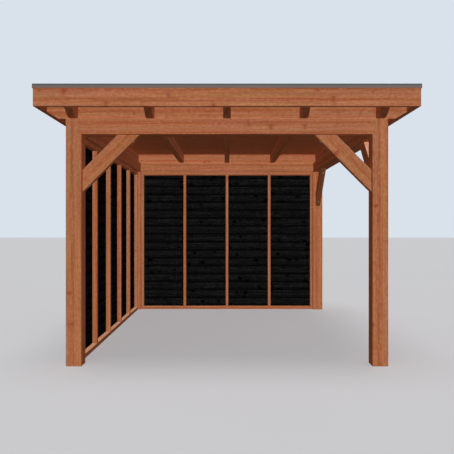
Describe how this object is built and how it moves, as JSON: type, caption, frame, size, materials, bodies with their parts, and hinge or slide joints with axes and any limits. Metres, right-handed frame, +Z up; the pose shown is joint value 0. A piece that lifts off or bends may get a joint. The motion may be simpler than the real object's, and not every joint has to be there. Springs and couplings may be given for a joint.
{
  "type": "timber carport",
  "caption": "Flat-roofed timber carport on square posts with knee braces and bevelled rafter tails, open at the front and right, closed with black boards at the left and back.",
  "frame": {"origin": "on the ground, at the middle of the roof's plan", "axes": "+X to the right seen from the open front, +Y from the front to the closed back, +Z up"},
  "size_m": [3.442, 4.102, 2.553],
  "materials": {
    "stained_timber": "planed, red-brown stain",
    "black_boards": "black stained boards",
    "roof_boards": "planed, red-brown stain",
    "roof_membrane": "matt sheet",
    "roof_trim": "satin grey",
    "fasteners": "zinc plated"
  },
  "bodies": {
    "root": {"front_left_post": "stained_timber", "front_right_post": "stained_timber", "back_left_post": "stained_timber", "back_right_post": "stained_timber", "front_beam": "stained_timber", "back_beam": "stained_timber", "left_beam": "stained_timber", "right_beam": "stained_timber", "rafter_1": "stained_timber", "rafter_2": "stained_timber", "rafter_3": "stained_timber", "rafter_4": "stained_timber", "rafter_5": "stained_timber", "front_left_lookout": "stained_timber", "front_right_lookout": "stained_timber", "back_left_lookout": "stained_timber", "back_right_lookout": "stained_timber", "front_fascia": "stained_timber", "back_fascia": "stained_timber", "left_fascia": "stained_timber", "right_fascia": "stained_timber", "front_left_brace": "stained_timber", "front_right_brace": "stained_timber", "right_front_brace": "stained_timber", "right_back_brace": "stained_timber", "left_wall_bottom_plate": "stained_timber", "left_wall_top_plate": "stained_timber", "left_wall_studs": "stained_timber", "back_wall_bottom_plate": "stained_timber", "back_wall_top_plate": "stained_timber", "back_wall_studs": "stained_timber", "left_wall_cladding": "black_boards", "back_wall_cladding": "black_boards", "roof_deck": "roof_boards", "roof_membrane": "roof_membrane", "front_roof_trim": "roof_trim", "back_roof_trim": "roof_trim", "left_roof_trim": "roof_trim", "right_roof_trim": "roof_trim"}
  },
  "joints": []
}
